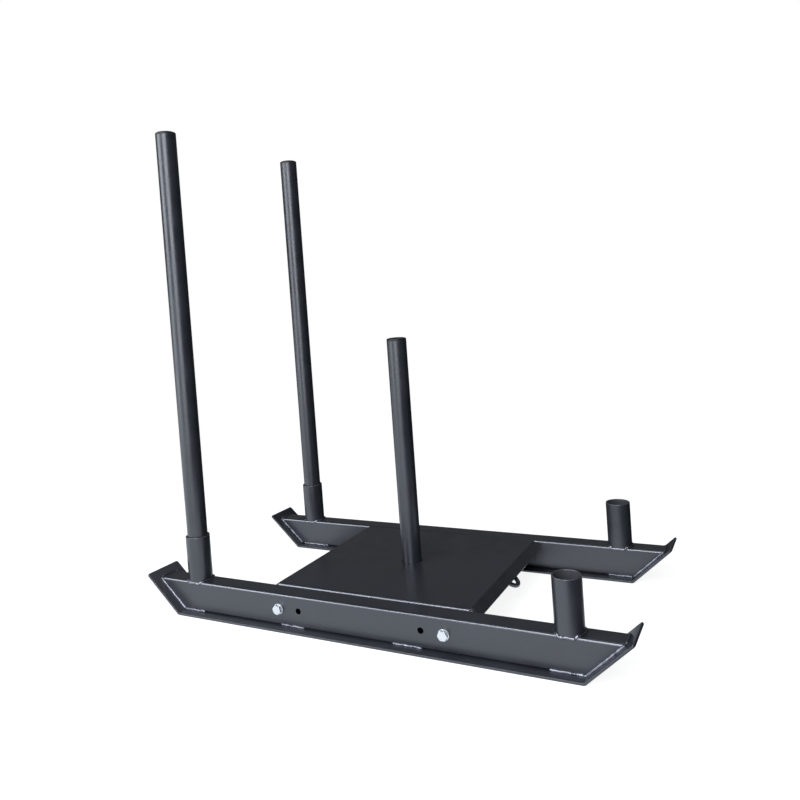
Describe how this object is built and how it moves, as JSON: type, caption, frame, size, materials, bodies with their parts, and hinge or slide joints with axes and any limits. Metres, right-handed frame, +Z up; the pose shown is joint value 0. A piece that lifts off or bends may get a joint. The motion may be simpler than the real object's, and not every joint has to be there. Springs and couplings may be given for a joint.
{
  "type": "weight sled",
  "caption": "Push and pull sled: skid runners with pole sockets, lift-out push poles, a bolted folded deck with a lift-out weight post and a pull eye.",
  "frame": {"origin": "on the floor below the middle of the deck, which is also the middle of the weight post's foot", "axes": "+X is the pull direction, towards the end with the open sockets and the pull eye; +Y is the sled's left side; +Z is up"},
  "size_m": [1.1536, 0.6, 1.1534],
  "materials": {
    "powder_coat": "satin black powder coat over welded steel",
    "zinc_plate": "bright zinc plate on steel fasteners",
    "cap_plastic": "moulded black polyethylene"
  },
  "bodies": {
    "frame": {"right_runner_tube": "powder_coat", "left_runner_tube": "powder_coat", "right_skid_plate": "powder_coat", "left_skid_plate": "powder_coat", "right_rear_socket": "powder_coat", "right_front_socket": "powder_coat", "left_rear_socket": "powder_coat", "left_front_socket": "powder_coat", "deck_plate": "powder_coat", "post_sleeve": "powder_coat", "sleeve_floor": "powder_coat", "pull_eye": "powder_coat", "right_rear_bolt": "zinc_plate", "right_front_bolt": "zinc_plate", "left_rear_bolt": "zinc_plate", "left_front_bolt": "zinc_plate", "right_rear_outer_washer": "zinc_plate", "right_front_outer_washer": "zinc_plate", "left_rear_outer_washer": "zinc_plate", "left_front_outer_washer": "zinc_plate", "right_rear_inner_washer": "zinc_plate", "right_front_inner_washer": "zinc_plate", "left_rear_inner_washer": "zinc_plate", "left_front_inner_washer": "zinc_plate", "right_rear_nut": "zinc_plate", "right_front_nut": "zinc_plate", "left_rear_nut": "zinc_plate", "left_front_nut": "zinc_plate"},
    "right_pole": {"right_push_pole": "powder_coat", "right_pole_cap": "cap_plastic"},
    "left_pole": {"left_push_pole": "powder_coat", "left_pole_cap": "cap_plastic"},
    "post": {"weight_post": "powder_coat", "post_cap": "cap_plastic"}
  },
  "joints": [
    {"name": "right_pole_lift", "type": "slide", "parent": "frame", "child": "right_pole", "axis": [0, 0, 1], "range_m": [0, 0.125]},
    {"name": "left_pole_lift", "type": "slide", "parent": "frame", "child": "left_pole", "axis": [0, 0, 1], "range_m": [0, 0.125]},
    {"name": "post_lift", "type": "slide", "parent": "frame", "child": "post", "axis": [0, 0, 1], "range_m": [0, 0.08]}
  ]
}
